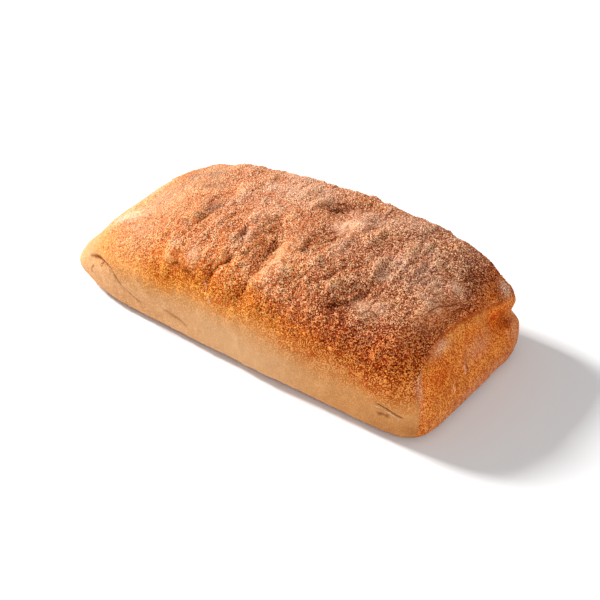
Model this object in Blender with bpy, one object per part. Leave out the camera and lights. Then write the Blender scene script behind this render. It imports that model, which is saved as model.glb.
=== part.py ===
"""A ciabatta: one solid loaf, flat underneath, in metres with +Z up.

+X runs along the loaf to its blunt, folded end, and -Y is the pale long side.
The origin is on the underside, below the middle of the loaf.
"""

import bmesh
import bpy
import numpy as np
from mathutils import Vector, noise

# Driving dimensions
LENGTH = 0.250
WIDTH = 0.120
HEIGHT = 0.0685
MM = 0.001

# Proportions of the plain loaf
WAIST_HEIGHT = 0.0095  # where the loaf is widest
NEAR_HEIGHT = 0.81  # height at the folded +X end, as a share of HEIGHT
FAR_HEIGHT = 0.53  # height at the tapered -X end
WAIST_SHARE = 0.955  # width in the middle, as a share of WIDTH
BACK_RISE = 0.045  # how much taller the +Y side is than the middle
END_LEAN = 0.21  # how far the +X end leans back for each unit of height
LEAN_FROM = 0.5  # where along the +X half the lean starts

# How boxy the loaf is: exponents of its rounded block, where 2 is an ellipsoid
NEAR_END_BOX = 18.0
FAR_END_BOX = 3.9
SIDE_BOX = 5.0
TOP_BOX = 2.65
FLOOR_SHARE = 1.25  # more than 1 cuts the underside flat

# Grid of the block, in cells along X, Y and Z
CELLS = (60, 30, 18)

# The hand-stretched unevenness of the dough: long lumps, and wrinkles across the top
LUMP_SIZE = Vector((0.034, 0.040, 0.030))
LUMP_HEIGHT = 0.0012
LUMP_SEED = Vector((3.1, 7.7, 1.9))
WRINKLE_SIZE = Vector((0.013, 0.030, 0.026))
WRINKLE_HEIGHT = 0.0016
WRINKLE_SEED = Vector((8.3, 2.2, 5.6))
WRINKLES_FROM = 0.030  # height where the wrinkles start, above the smooth flanks
WRINKLES_FULL = 0.052

# Broad swellings (height above 0) and dents (below 0) of the crust, in mm:
# middle, radius along X, Y and Z, height
SWELLS = {
    "dent by the long furrow": ((-22, -48, 53), (10, 12, 12), -2.4),
    "valley left of the ridge": ((6, -27, 66), (8, 17, 12), -2.6),
    "ridge right of the valley": ((22, -29, 67), (6, 19, 12), 2.3),
    "dark dent of the crown": ((60, -23, 65), (15, 15, 14), -2.5),
    "rise behind the dark dent": ((40, -2, 68), (10, 14, 12), 1.0),
    "hole at the back crest": ((19, 20, 69), (8, 9, 12), -4.0),
    "smooth bump by the hole": ((33, 14, 70), (9, 8, 10), 1.4),
    "shallow dent far back": ((-45, 5, 60), (18, 12, 12), -1.2),
    "dip of the back crest": ((-30, 43, 61), (18, 12, 12), -1.0),
    "back crest": ((24, 45, 64), (20, 12, 14), 1.3),
    "corner dent": ((98, 48, 52), (14, 12, 16), -0.8),
    "middle flank": ((28, -57, 8), (28, 14, 22), 1.9),
    "far flank": ((-60, -56, 6), (40, 14, 14), -2.6),
    "front corner": ((111, -54, 5), (13, 12, 14), -2.4),
    "far back shoulder": ((-80, 41, 47), (22, 16, 18), 1.4),
    "far tip": ((-119, -47, 13), (8, 8, 6), 2.4),
    "below the far tip": ((-106, -51, 4), (14, 12, 7), -1.6),
    "far lip": ((-117, -26, 25), (8, 8, 10), -2.4),
    "end recess": ((118, 24, 33), (8, 8, 9), -3.8),
    "end lobe": ((119, 46, 34), (10, 11, 6), 1.2),
    "lower end corner": ((123, 50, 8), (12, 13, 11), -1.2),
    "end dish": ((121, -14, 26), (14, 24, 16), -1.0),
}

# A groove sinks along its path. Path in mm, half width, depth
GROOVES = {
    "long furrow": (
        [(-17, -54, 41), (-17, -50, 48), (-13, -46, 55), (-6, -40, 60), (0, -33, 64)],
        3.4,
        -2.4,
    ),
    "valley floor": (
        [(10, -45, 59), (13, -38, 65), (12, -28, 67), (7, -17, 68), (-3, -3, 67)],
        3.8,
        -2.0,
    ),
    "third furrow": ([(28, -26, 67), (29, -12, 69), (33, -2, 70)], 4.0, -1.3),
    "crest furrow": ([(12, 34, 66), (18, 24, 69), (22, 10, 70)], 5.0, -1.6),
    "end notch": ([(119, 22, 31), (119, 40, 29), (117, 54, 23), (108, 60, 19)], 4.2, -3.6),
}

# A fold lifts the skin on the left of its path over the skin on the right.
# Path in mm, how far the step reaches, its height
FOLDS = {
    "far side fold": (
        [(-66, -57, 11), (-74, -57, 16), (-80, -56, 22), (-87, -54, 27), (-97, -50, 27), (-107, -48, 22)],
        9.0,
        -2.2,
    ),
    "end crease": (
        [(120, -51, 9), (116, -46, 33), (112, -32, 45), (111, -10, 48), (113, 12, 46), (116, 34, 40)],
        8.0,
        1.8,
    ),
}
FOLD_EDGE = 0.0018  # how wide the step of a fold is
PATH_SLACK = 0.006  # how far above or below the crust a path's points may lie


def grid_block(cells):
    """A two-metre cube whose edges along X, Y and Z are cut into these many cells."""
    block = bmesh.new()
    bmesh.ops.create_cube(block, size=2.0)
    for axis, count in enumerate(cells):
        along = [
            edge
            for edge in block.edges
            if abs(edge.verts[0].co[axis] - edge.verts[1].co[axis]) > 0.1
        ]
        bmesh.ops.subdivide_edges(
            block, edges=along, cuts=count - 1, use_grid_fill=True
        )
    return block


def on_rounded_block(points):
    """Each point of the cube moved along its ray to |x|^p + |y|^q + |z|^r = 1."""
    powers = np.empty_like(points)
    powers[:, 0] = np.where(points[:, 0] > 0, NEAR_END_BOX, FAR_END_BOX)
    powers[:, 1] = SIDE_BOX
    powers[:, 2] = TOP_BOX
    low, high = np.full(len(points), 0.3), np.ones(len(points))
    for _ in range(30):
        middle = (low + high) / 2
        outside = (np.abs(points * middle[:, None]) ** powers).sum(axis=1) > 1
        high = np.where(outside, middle, high)
        low = np.where(outside, low, middle)
    return points * low[:, None]


def through(near, middle, far, t):
    """A parabola with these values at t = 1, 0 and -1."""
    return middle + (near - far) / 2 * t + ((near + far) / 2 - middle) * t * t


def smooth_step(start, end, values):
    share = np.clip((values - start) / (end - start), 0, 1)
    return share * share * (3 - 2 * share)


def loaf_form(points):
    """The plain form of the loaf from the rounded block's points."""
    t, side, up = on_rounded_block(points).T
    width = through(WIDTH, WIDTH * WAIST_SHARE, WIDTH, t)
    height = through(HEIGHT * NEAR_HEIGHT, HEIGHT, HEIGHT * FAR_HEIGHT, t)
    above = (height - WAIST_HEIGHT) * up * (1 + BACK_RISE * side)
    below = WAIST_HEIGHT * np.clip(up * FLOOR_SHARE, -1, 0)
    z = WAIST_HEIGHT + np.where(up > 0, above, below)
    lean = END_LEAN * smooth_step(LEAN_FROM, 1, t) * np.maximum(z - WAIST_HEIGHT, 0)
    return np.stack([t * LENGTH / 2 - lean, side * width / 2, z], axis=1)


def uneven(points, size, seed):
    """Smooth noise between -1 and 1, with lumps of this size."""
    return np.array([noise.noise(Vector(point) + seed) for point in points / size])


def lumps(points):
    """Height of the dough's unevenness at each point."""
    on_top = smooth_step(WRINKLES_FROM, WRINKLES_FULL, points[:, 2])
    broad = LUMP_HEIGHT * uneven(points, LUMP_SIZE, LUMP_SEED)
    return broad + WRINKLE_HEIGHT * on_top * uneven(points, WRINKLE_SIZE, WRINKLE_SEED)


def swells(points):
    total = np.zeros(len(points))
    for middle, radius, height in SWELLS.values():
        offset = (points / MM - middle) / radius
        total += height * MM * np.exp(-(offset**2).sum(axis=1))
    return total


def smooth_path(path, steps=12):
    """Points along a Catmull-Rom curve through the path's own points."""
    ends = [2 * path[0] - path[1], *path, 2 * path[-1] - path[-2]]
    found = []
    for before, start, end, after in zip(ends, ends[1:], ends[2:], ends[3:]):
        for t in np.linspace(0, 1, steps, endpoint=False):
            found.append(
                0.5
                * (
                    2 * start
                    + (end - before) * t
                    + (2 * before - 5 * start + 4 * end - after) * t**2
                    + (3 * start - before - 3 * end + after) * t**3
                )
            )
    return np.array([*found, path[-1]])


def beside(points, normals, path):
    """Distance from the path along the crust, above 0 on its left, and the share of its length."""
    curve = smooth_path(np.array(path, float) * MM)
    gaps = points[:, None, :] - curve[None, :, :]
    nearest = (gaps**2).sum(axis=2).argmin(axis=1)
    tangents = np.gradient(curve, axis=0)[nearest]
    offset = points - curve[nearest]
    lifted = np.clip((offset * normals).sum(axis=1), -PATH_SLACK, PATH_SLACK)
    offset -= normals * lifted[:, None]
    left = np.sign((np.cross(normals, tangents) * offset).sum(axis=1))
    return left * np.linalg.norm(offset, axis=1), nearest / (len(curve) - 1)


def fade(share):
    """Full in the middle of a path and nothing at its ends."""
    return np.sin(np.pi * np.clip(share, 0, 1)) ** 0.6


def creases(points, normals):
    total = np.zeros(len(points))
    for path, width, depth in GROOVES.values():
        gap, share = beside(points, normals, path)
        total += depth * MM * np.exp(-((gap / (width * MM)) ** 2)) * fade(share)
    for path, reach, step in FOLDS.values():
        gap, share = beside(points, normals, path)
        side = 0.25 + 0.75 * np.tanh(gap / FOLD_EDGE)
        total += step * MM * side * np.exp(-np.abs(gap) / (reach * MM)) * fade(share)
    return total


def normals_of(mesh):
    found = np.empty(len(mesh.vertices) * 3)
    mesh.vertex_normals.foreach_get("vector", found)
    return found.reshape(-1, 3)


def place(mesh, points):
    mesh.vertices.foreach_set("co", points.astype(np.float32).ravel())
    mesh.update()


def crust_material():
    crust = bpy.data.materials.new("crust")
    crust.use_nodes = True
    surface = crust.node_tree.nodes["Principled BSDF"]
    surface.inputs["Base Color"].default_value = (0.55, 0.24, 0.09, 1)
    surface.inputs["Roughness"].default_value = 0.8
    surface.inputs["Metallic"].default_value = 0
    return crust


def build_loaf(collection):
    block = grid_block(CELLS)
    mesh = bpy.data.meshes.new("loaf")
    block.to_mesh(mesh)
    block.free()
    cube = np.empty(len(mesh.vertices) * 3, np.float32)
    mesh.vertices.foreach_get("co", cube)
    points = loaf_form(cube.reshape(-1, 3).astype(float))
    place(mesh, points)
    normals = normals_of(mesh)
    raised = lumps(points) + swells(points) + creases(points, normals)
    off_floor = smooth_step(0, WAIST_HEIGHT, points[:, 2])
    points = points + normals * (raised * off_floor)[:, None]
    place(mesh, points)
    mesh.materials.append(crust_material())
    mesh.shade_smooth()
    loaf = bpy.data.objects.new("loaf", mesh)
    collection.objects.link(loaf)
    return loaf


def main():
    for old in list(bpy.data.objects):
        bpy.data.objects.remove(old, do_unlink=True)
    bpy.context.scene.unit_settings.system = "METRIC"
    collection = bpy.data.collections.new("ciabatta")
    bpy.context.scene.collection.children.link(collection)
    build_loaf(collection)


main()
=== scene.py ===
import math

import bmesh
import bpy
import numpy as np
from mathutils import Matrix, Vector, noise


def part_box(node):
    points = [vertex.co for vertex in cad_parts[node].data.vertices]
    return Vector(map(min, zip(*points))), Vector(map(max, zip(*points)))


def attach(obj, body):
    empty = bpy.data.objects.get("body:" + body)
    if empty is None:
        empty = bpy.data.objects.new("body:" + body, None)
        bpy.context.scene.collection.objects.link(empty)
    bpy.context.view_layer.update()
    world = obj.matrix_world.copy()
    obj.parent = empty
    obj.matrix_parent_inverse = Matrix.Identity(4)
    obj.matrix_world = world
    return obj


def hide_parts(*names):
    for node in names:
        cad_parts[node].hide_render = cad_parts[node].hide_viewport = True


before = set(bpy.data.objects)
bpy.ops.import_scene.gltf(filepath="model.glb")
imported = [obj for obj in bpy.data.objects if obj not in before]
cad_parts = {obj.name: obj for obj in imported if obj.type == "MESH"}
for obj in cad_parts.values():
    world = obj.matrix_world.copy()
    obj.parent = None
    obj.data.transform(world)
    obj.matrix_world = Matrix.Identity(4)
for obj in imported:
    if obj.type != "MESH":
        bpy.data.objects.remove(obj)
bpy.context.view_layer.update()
mm = 0.001
print("frame loaded")

# studio: pale floor, soft key from the far end, the camera where the picture was taken
studio = {
    "floorSize": 6.0, "floorGap": 0.0002, "floorColour": (0.92, 0.92, 0.92),
    "skyStrength": 0.36,
    "lights": {  # place, size, power
        "key": ((-1.25, -0.12, 0.92), 0.28, 36.0),
        "fill": ((1.35, -0.85, 0.75), 0.9, 13.5),
    },
    "turn": 36.5,  # camera's azimuth, degrees
    "height": 37.0,  # camera's elevation, degrees
    "distance": 0.936,
    "lookAt": (0.0172, -0.0140, 0.0250),
    "lens": 102.06,  # on a 36 mm frame
}


def newMaterial(name, roughness, specular=0.5):
    material = bpy.data.materials.new(name)
    material.use_nodes = True
    surface = material.node_tree.nodes["Principled BSDF"]
    surface.inputs["Roughness"].default_value = roughness
    surface.inputs["Specular IOR Level"].default_value = specular
    return material, material.node_tree, surface


def addNode(kind, values, tree=None, **settings):
    # unless a tree is given, the node goes into that of the sockets it takes
    wires = [value for value in values.values() if isinstance(value, bpy.types.NodeSocket)]
    tree = tree or wires[0].id_data
    node = tree.nodes.new(kind)
    for name, value in settings.items():
        setattr(node, name, value)
    for name, value in values.items():
        if isinstance(value, bpy.types.NodeSocket):
            tree.links.new(value, node.inputs[name])
        else:
            node.inputs[name].default_value = value
    return node


def calc(operation, *values, clamp=False):
    settings = {"operation": operation, "use_clamp": clamp}
    return addNode("ShaderNodeMath", dict(enumerate(values)), **settings).outputs[0]


def times(value, weight, clamp=False):
    return calc("MULTIPLY", value, weight, clamp=clamp)


def timesPlus(value, weight, extra):
    return calc("MULTIPLY_ADD", value, weight, extra)


def weighed(weights, values):
    # the named values, each times its weight, added up
    total = 0.0
    for name, weight in weights.items():
        total = timesPlus(values[name], weight, total)
    return total


def mixColour(share, under, over, blend="MIX"):
    values = {0: share, 6: under, 7: over}
    return addNode("ShaderNodeMix", values, data_type="RGBA", blend_type=blend).outputs[2]


def fromScreen(red, green, blue):
    # 0 to 255 as on screen, to the linear colour that a shader takes
    parts = [value / 255 for value in (red, green, blue)]
    return tuple(p / 12.92 if p <= 0.04045 else ((p + 0.055) / 1.055) ** 2.4 for p in parts) + (1.0,)


def colourRamp(value, places, tones):
    # the first tone is at 0, the last at 1 and the others at these places
    ramp = addNode("ShaderNodeValToRGB", {"Fac": value})
    band = ramp.color_ramp
    band.elements[0].color = fromScreen(*tones[0])
    band.elements[1].color = fromScreen(*tones[-1])
    for place, tone in zip(places, tones[1:-1]):
        band.elements.new(place).color = fromScreen(*tone)
    return ramp.outputs[0]


def readZones(tree, names):
    zone = {}
    for name in names.split():
        zone[name] = addNode("ShaderNodeAttribute", {}, tree, attribute_name=name).outputs["Fac"]
    return zone


def noiseAt(where, size, detail=2.0, roughness=0.5):
    values = {"Vector": where, "Scale": 1 / size, "Detail": detail, "Roughness": roughness}
    return addNode("ShaderNodeTexNoise", values).outputs[0]


def stretched(where, stretch):
    return addNode("ShaderNodeVectorMath", {0: where, 1: stretch}, operation="MULTIPLY").outputs[0]


def sharpen(value, low, high, least=0.0, most=1.0):
    values = {0: value, 1: low, 2: high, 3: least, 4: most}
    return addNode("ShaderNodeMapRange", values, clamp=True).outputs[0]


def lineAt(value, middle, low, high, most=1.0):
    # full within low of the middle, and nothing further than high from it
    away = calc("ABSOLUTE", calc("SUBTRACT", value, middle))
    return sharpen(away, low, high, most, 0.0)


def areaLight(name, place, size, power):
    light = bpy.data.lights.new(name, "AREA")
    light.energy = power
    light.size = size
    lamp = bpy.data.objects.new(name, light)
    lamp.location = place
    lamp.rotation_euler = Vector(place).to_track_quat("Z", "Y").to_euler()
    bpy.context.scene.collection.objects.link(lamp)


def buildStudio():
    scene = bpy.context.scene
    bpy.ops.mesh.primitive_plane_add(size=studio["floorSize"])
    floor = bpy.context.object
    floor.name = "floor"
    for corner in floor.data.vertices:
        corner.co.z = -studio["floorGap"]
    paper, _, surface = newMaterial("paper", 0.9)
    surface.inputs["Base Color"].default_value = (*studio["floorColour"], 1)
    floor.data.materials.append(paper)

    sky = bpy.data.worlds.new("sky")
    sky.use_nodes = True
    background = sky.node_tree.nodes["Background"]
    background.inputs["Color"].default_value = (1, 1, 1, 1)
    background.inputs["Strength"].default_value = studio["skyStrength"]
    scene.world = sky
    for name, values in studio["lights"].items():
        areaLight(name, *values)
    scene.view_settings.view_transform = "Standard"

    turn, height = math.radians(studio["turn"]), math.radians(studio["height"])
    back = Vector(
        (math.sin(turn) * math.cos(height), -math.cos(turn) * math.cos(height), math.sin(height))
    )
    lens = bpy.data.cameras.new("camera")
    lens.lens = studio["lens"]
    camera = bpy.data.objects.new("camera", lens)
    camera.location = Vector(studio["lookAt"]) + back * studio["distance"]
    camera.rotation_euler = back.to_track_quat("Z", "Y").to_euler()
    scene.collection.objects.link(camera)
    scene.camera = camera


# the plain loaf: a block rounded by its exponents, then bent to the loaf's own profile
loaf = {
    "length": 0.250, "width": 0.120, "height": 0.0685, "waistHeight": 0.0095,
    "nearHeight": 0.81, "farHeight": 0.53, "waistShare": 0.955, "backRise": 0.045,
    "endLean": 0.21, "leanFrom": 0.5, "floorShare": 1.25,
    "nearEndBox": 18.0, "farEndBox": 3.9, "sideBox": 5.0, "topBox": 2.65,
    "cells": (262, 128, 80),
    "lowRows": 11,  # of the rows in height, those below the waist
}

# the unevenness of the dough: size along X, Y and Z, height, seed
doughLumps = {
    "lumps": (Vector((0.034, 0.040, 0.030)), 0.0012, Vector((3.1, 7.7, 1.9))),
    "wrinkles": (Vector((0.013, 0.030, 0.026)), 0.0016, Vector((8.3, 2.2, 5.6))),
    "wrinklesFrom": 0.030, "wrinklesFull": 0.052,
}

# broad swellings and dents, in mm: middle, radius, height
swells = {
    "dentByLongFurrow": ((-22, -48, 53), (10, 12, 12), -2.4),
    "valleyLeftOfRidge": ((4, -27, 66), (8, 17, 12), -2.6),
    "ridgeRightOfValley": ((18, -31, 67), (6.5, 19, 12), 2.4),
    "darkDentOfCrown": ((60, -23, 65), (15, 15, 14), -2.5),
    "riseBehindDarkDent": ((40, -2, 68), (10, 14, 12), 1.0),
    "holeAtBackCrest": ((22, 23, 69), (8, 9, 12), -4.0),
    "smoothBumpByHole": ((33, 14, 70), (9, 8, 10), 1.1),
    "shallowDentFarBack": ((-45, 5, 60), (18, 12, 12), -1.2),
    "dipOfBackCrest": ((-30, 43, 61), (18, 12, 12), -1.0),
    "backCrest": ((24, 45, 64), (20, 12, 14), 1.3),
    "cornerDent": ((98, 48, 52), (14, 12, 16), -0.8),
    "middleFlank": ((28, -57, 8), (28, 14, 22), 1.9),
    "farFlank": ((-60, -56, 6), (40, 14, 14), -2.6),
    "frontCorner": ((111, -54, 5), (13, 12, 14), -2.4),
    "farBackShoulder": ((-80, 41, 47), (22, 16, 18), 1.4),
    "farTip": ((-119, -47, 13), (8, 8, 6), 2.4),
    "belowFarTip": ((-106, -51, 4), (14, 12, 7), -1.6),
    "farLip": ((-117, -26, 25), (8, 8, 10), -2.4),
    "endRecess": ((118, 24, 33), (8, 8, 9), -3.8),
    "endLobe": ((119, 46, 34), (10, 11, 6), 1.2),
    "lowerEndCorner": ((123, 50, 8), (12, 13, 11), -1.2),
    "endDish": ((121, -14, 26), (14, 24, 16), -1.0),
    # small ones, which the solid leaves out
    "paleBump": ((-38, -43, 57), (3, 4, 5), 1.3),
    "palePatch": ((77, -36, 62), (8, 6, 6), 1.2),
    "shoulderBump": ((-30, -46, 54), (5, 6, 7), 1.6),
    "shoulderBumpFar": ((-45, -45, 54), (4, 5, 5), 0.8),
    "riseByLongFurrow": ((-8, -48, 54), (5, 5, 6), 1.0),
    "crestBeforeValley": ((-9, -35, 63), (6, 10, 8), 1.2),
    "backEdge": ((82, 50, 57), (26, 10, 12), 1.0),
    "hollowUnderShoulder": ((-36, -53, 44), (9, 6, 5), -0.5),
    "shoulderKnob": ((50, -52, 51), (4, 4, 6), 1.0),
    "topSpot": ((102, 26, 57), (6, 8, 7), -0.8),
    "topFlourRise": ((97, -9, 61), (6, 6, 6), 0.9),
    "farTopDent": ((-50, -20, 60), (5, 8, 7), -0.8),
    "farTopRise": ((-38, -12, 62), (4, 14, 7), 0.9),
}

# grooves sink along a path: path in mm, half width, depth
grooves = {
    "longFurrow": (
        [(-17, -54, 41), (-17, -50, 48), (-13, -46, 55), (-6, -40, 60), (0, -33, 64)], 3.4, -2.4),
    "valleyFloor": ([(7, -45, 59), (10, -38, 65), (9, -28, 67), (5, -17, 68), (-4, -3, 67)], 3.8, -2.0),
    "thirdFurrow": ([(28, -26, 67), (29, -12, 69), (33, -2, 70)], 4.0, -1.3),
    "crestFurrow": ([(12, 34, 66), (18, 24, 69), (22, 10, 70)], 5.0, -1.6),
    "endNotch": ([(119, 22, 31), (119, 40, 29), (117, 54, 23), (108, 60, 19)], 4.2, -3.6),
    # small ones, which the solid leaves out
    "crestShelf": ([(25, 28, 69), (32, 30, 69), (39, 33, 68)], 2.2, -0.6),
    "crestMark": ([(54, 11, 69), (57, 7, 68), (60, 3, 68)], 1.8, -0.8),
    "dentMark": ([(60, -12, 66), (58, -7, 66), (61, -3, 66)], 2.4, -0.9),
    "farMarkA": ([(-53, -41, 55), (-48, -39, 57), (-44, -35, 59)], 1.8, -0.8),
    "farMarkB": ([(-68, -45, 48), (-67, -50, 44), (-62, -52, 40)], 1.8, -0.5),
    "sideCreaseA": ([(-50, -57, 20), (-38, -57, 17.5), (-27, -57, 14)], 1.6, -0.5),
    "sideCreaseB": ([(-3, -57, 24), (4, -57, 18), (10, -57, 14)], 1.6, -0.5),
    "sideCreaseC": ([(50, -57, 22), (60, -58, 19), (74, -58, 18)], 2.0, -0.4),
    "sideLowFold": ([(-48, -56, 16), (-40, -56, 14), (-34, -56, 13), (-28, -57, 11)], 1.5, -0.8),
    "sideUnderLip": ([(97, -58, 19), (103, -58, 19), (110, -57, 17)], 1.3, -0.7),
}

# sharp furrows: path in mm, depth, how far the left and the right wall reach, how dark the line of painted
# shade along the crease is
furrows = {
    "main": (
        [(-16, -55, 39), (-16, -52, 44), (-17, -49, 48), (-15, -47, 53), (-12, -45, 56), (-8, -42, 59),
         (-5, -39, 61), (-2, -35, 63)],
        1.4, 3.0, 2.6, 0.65),
    "valleyBottom": (
        [(6, -47, 57), (9, -42, 62), (11, -38, 65), (11, -32, 67), (9, -27, 68), (6, -19, 68), (2, -12, 68),
         (-4, -4, 67)],
        2.6, 6.0, 2.6, 0.6),
    "rightOfRidge": (
        [(12, -52, 50), (17, -50, 54), (20, -48, 58), (22, -46, 60), (24, -42, 62)], 1.0, 2.2, 2.2, 0.4),
    "lowShoulder": (
        [(4, -56, 38), (4, -54, 43), (6, -52, 48), (8, -50, 52), (11, -48, 56)], 1.1, 2.4, 2.4, 0.4),
    "shoulderB": (
        [(32, -53, 46), (34, -50, 53), (36, -48, 57), (37, -44, 61), (38, -41, 63)], 1.1, 2.6, 2.2, 0.5),
    "shoulderC": ([(51, -54, 45), (53, -51, 53), (53, -46, 58)], 0.8, 2.4, 2.4, 0.35),
    "crownTick": ([(34, -42, 62), (35, -40, 63), (36, -37, 65), (38, -32, 66)], 1.1, 2.4, 1.8, 0.6),
    "crownA": ([(25, -24, 67), (24, -17, 68), (23, -11, 69), (21, -5, 69), (19, 2, 70)], 1.4, 3.0, 2.4, 0.5),
    "crownB": ([(29, -20, 68), (30, -12, 69), (31, -6, 69), (33, -2, 70), (36, 2, 70)], 1.7, 3.5, 2.8, 0.6),
    "dentTop": (
        [(42, -40, 64), (46, -34, 66), (49, -29, 66), (50, -24, 67), (51, -17, 67)], 1.2, 4.0, 2.6, 0.4),
    "dentBottom": (
        [(56, -48, 57), (62, -43, 60), (66, -40, 61), (69, -36, 63), (71, -31, 63), (70, -24, 64),
         (68, -18, 65), (65, -11, 66)],
        2.0, 6.0, 2.6, 0.5),
    "paleSlit": ([(-5, -37, 62), (-9, -30, 65), (-12, -25, 66), (-15, -18, 67)], 1.2, 2.4, 1.8, 0.5),
    "smudged": (
        [(-47, -33, 59), (-43, -25, 61), (-43, -17, 62), (-43, -10, 61), (-41, -1, 61)], 1.2, 4.0, 3.2, 0.3),
    "shoulderLine": (
        [(-48, -50, 48), (-44, -52, 46), (-40, -51, 48), (-35, -52, 46), (-30, -52, 46), (-26, -53, 43),
         (-18, -54, 40)],
        1.4, 3.2, 2.4, 0.5),
    "aboveChevron": (
        [(88, -12, 62), (92, -8, 62), (97, -7, 60), (99, -2, 60), (99, 3, 60)], 0.9, 2.6, 2.0, 0.3),
    "smallBack": ([(12, 20, 68), (7, 25, 68), (0, 28, 68)], 0.9, 2.0, 2.0, 0.5),
}

# folds lift the skin on the left of a path: path in mm, reach, step
folds = {
    "farSideFold": (
        [(-66, -57, 11), (-74, -57, 16), (-80, -56, 22), (-87, -54, 27), (-97, -50, 27), (-107, -48, 22)],
        9.0, -2.2),
    "endCrease": (
        [(120, -51, 9), (116, -46, 33), (112, -32, 45), (111, -10, 48), (113, 12, 46), (116, 34, 40)],
        8.0, 1.8),
    # small ones of the crown, which the solid leaves out
    "furrowAtBump": ([(28, 4, 70), (26, 10, 70), (27, 18, 70)], 4.0, 0.8),
}
foldEdge = 0.0009
pathSlack = 0.006  # how far a path's own points may lie off the surface


def gridBlock(cells):
    block = bmesh.new()
    bmesh.ops.create_cube(block, size=2.0)
    for axis, count in enumerate(cells):
        along = [e for e in block.edges if abs(e.verts[0].co[axis] - e.verts[1].co[axis]) > 0.1]
        bmesh.ops.subdivide_edges(block, edges=along, cuts=count - 1, use_grid_fill=True)
    return block


def moveRowsUp(points):
    # only the lowest rows of faces are below the waist
    rows, low = loaf["cells"][2], loaf["lowRows"]
    row = (points[:, 2] + 1) / 2 * rows
    points[:, 2] = np.where(row < low, row / low - 1, (row - low) / (rows - low))
    return points


def softStep(start, end, values):
    share = np.clip((values - start) / (end - start), 0, 1)
    return share * share * (3 - 2 * share)


def onRoundedBlock(points):
    powers = np.empty_like(points)
    powers[:, 0] = np.where(points[:, 0] > 0, loaf["nearEndBox"], loaf["farEndBox"])
    powers[:, 1] = loaf["sideBox"]
    powers[:, 2] = loaf["topBox"]
    low, high = np.full(len(points), 0.3), np.ones(len(points))
    for _ in range(30):
        middle = (low + high) / 2
        outside = (np.abs(points * middle[:, None]) ** powers).sum(axis=1) > 1
        high = np.where(outside, middle, high)
        low = np.where(outside, low, middle)
    return points * low[:, None]


def through(near, middle, far, t):
    return middle + (near - far) / 2 * t + ((near + far) / 2 - middle) * t * t


def loafForm(points):
    t, side, up = onRoundedBlock(points).T
    width, full, waist = loaf["width"], loaf["height"], loaf["waistHeight"]
    wide = through(width, width * loaf["waistShare"], width, t)
    tall = through(full * loaf["nearHeight"], full, full * loaf["farHeight"], t)
    above = (tall - waist) * up * (1 + loaf["backRise"] * side)
    below = waist * np.clip(up * loaf["floorShare"], -1, 0)
    z = waist + np.where(up > 0, above, below)
    lean = loaf["endLean"] * softStep(loaf["leanFrom"], 1, t) * np.maximum(z - waist, 0)
    return np.stack([t * loaf["length"] / 2 - lean, side * wide / 2, z], axis=1)


def uneven(points, size, seed):
    return np.array([noise.noise(Vector(point) + seed) for point in points / size])


def lumpHeight(points):
    onTop = softStep(doughLumps["wrinklesFrom"], doughLumps["wrinklesFull"], points[:, 2])
    total = np.zeros(len(points))
    for name, share in (("lumps", 1), ("wrinkles", onTop)):
        size, height, seed = doughLumps[name]
        total += height * share * uneven(points, size, seed)
    return total


def spot(points, middle, radius):
    return np.exp(-((((points / mm) - middle) / radius) ** 2).sum(axis=1))


def smoothPath(path, steps=12):
    # a Catmull-Rom curve through the path's own points
    ends = [2 * path[0] - path[1], *path, 2 * path[-1] - path[-2]]
    found = []
    for before, start, end, after in zip(ends, ends[1:], ends[2:], ends[3:]):
        for t in np.linspace(0, 1, steps, endpoint=False):
            bend = (2 * before - 5 * start + 4 * end - after) * t**2
            swing = (3 * start - before - 3 * end + after) * t**3
            found.append((2 * start + (end - before) * t + bend + swing) / 2)
    return np.array([*found, path[-1]])


def beside(points, normals, path, within):
    # distance from the path along the surface, above 0 on its left, and the share of the way along it
    curve = smoothPath(np.array(path, float) * mm)
    gap, share = np.full(len(points), 1.0), np.zeros(len(points))
    inReach = (points > curve.min(axis=0) - within) & (points < curve.max(axis=0) + within)
    near = np.nonzero(inReach.all(axis=1))[0]
    distances = ((points[near][:, None, :] - curve[None, :, :]) ** 2).sum(axis=2)
    nearest = distances.argmin(axis=1)
    tangents = np.gradient(curve, axis=0)[nearest]
    offset = points[near] - curve[nearest]
    lifted = np.clip((offset * normals[near]).sum(axis=1), -pathSlack, pathSlack)
    offset -= normals[near] * lifted[:, None]
    left = np.sign((np.cross(normals[near], tangents) * offset).sum(axis=1))
    gap[near] = left * np.linalg.norm(offset, axis=1)
    share[near] = nearest / (len(curve) - 1)
    return gap, share


def fade(share):
    return np.sin(np.pi * np.clip(share, 0, 1)) ** 0.6


def creaseHeight(points, normals):
    total = np.zeros(len(points))
    for path, width, depth in grooves.values():
        gap, share = beside(points, normals, path, 5 * width * mm)
        total += depth * mm * np.exp(-((gap / (width * mm)) ** 2)) * fade(share)
    for path, reach, step in folds.values():
        gap, share = beside(points, normals, path, 6 * reach * mm)
        side = 0.25 + 0.75 * np.tanh(gap / foldEdge)
        total += step * mm * side * np.exp(-np.abs(gap) / (reach * mm)) * fade(share)
    for path, depth, left, right, _ in furrows.values():
        gap, share = beside(points, normals, path, 6 * left * mm)
        reach = np.where(gap > 0, left, right) * mm
        total -= depth * mm * np.exp(-np.abs(gap) / reach) * fade(share)
    return total


def getVectors(mesh):
    # its points and its normals
    rows = []
    for items, key in ((mesh.vertices, "co"), (mesh.vertex_normals, "vector")):
        found = np.empty(len(items) * 3)
        items.foreach_get(key, found)
        rows.append(found.reshape(-1, 3))
    return rows


def place(mesh, points):
    mesh.vertices.foreach_set("co", points.astype(np.float32).ravel())
    mesh.update()


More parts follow.
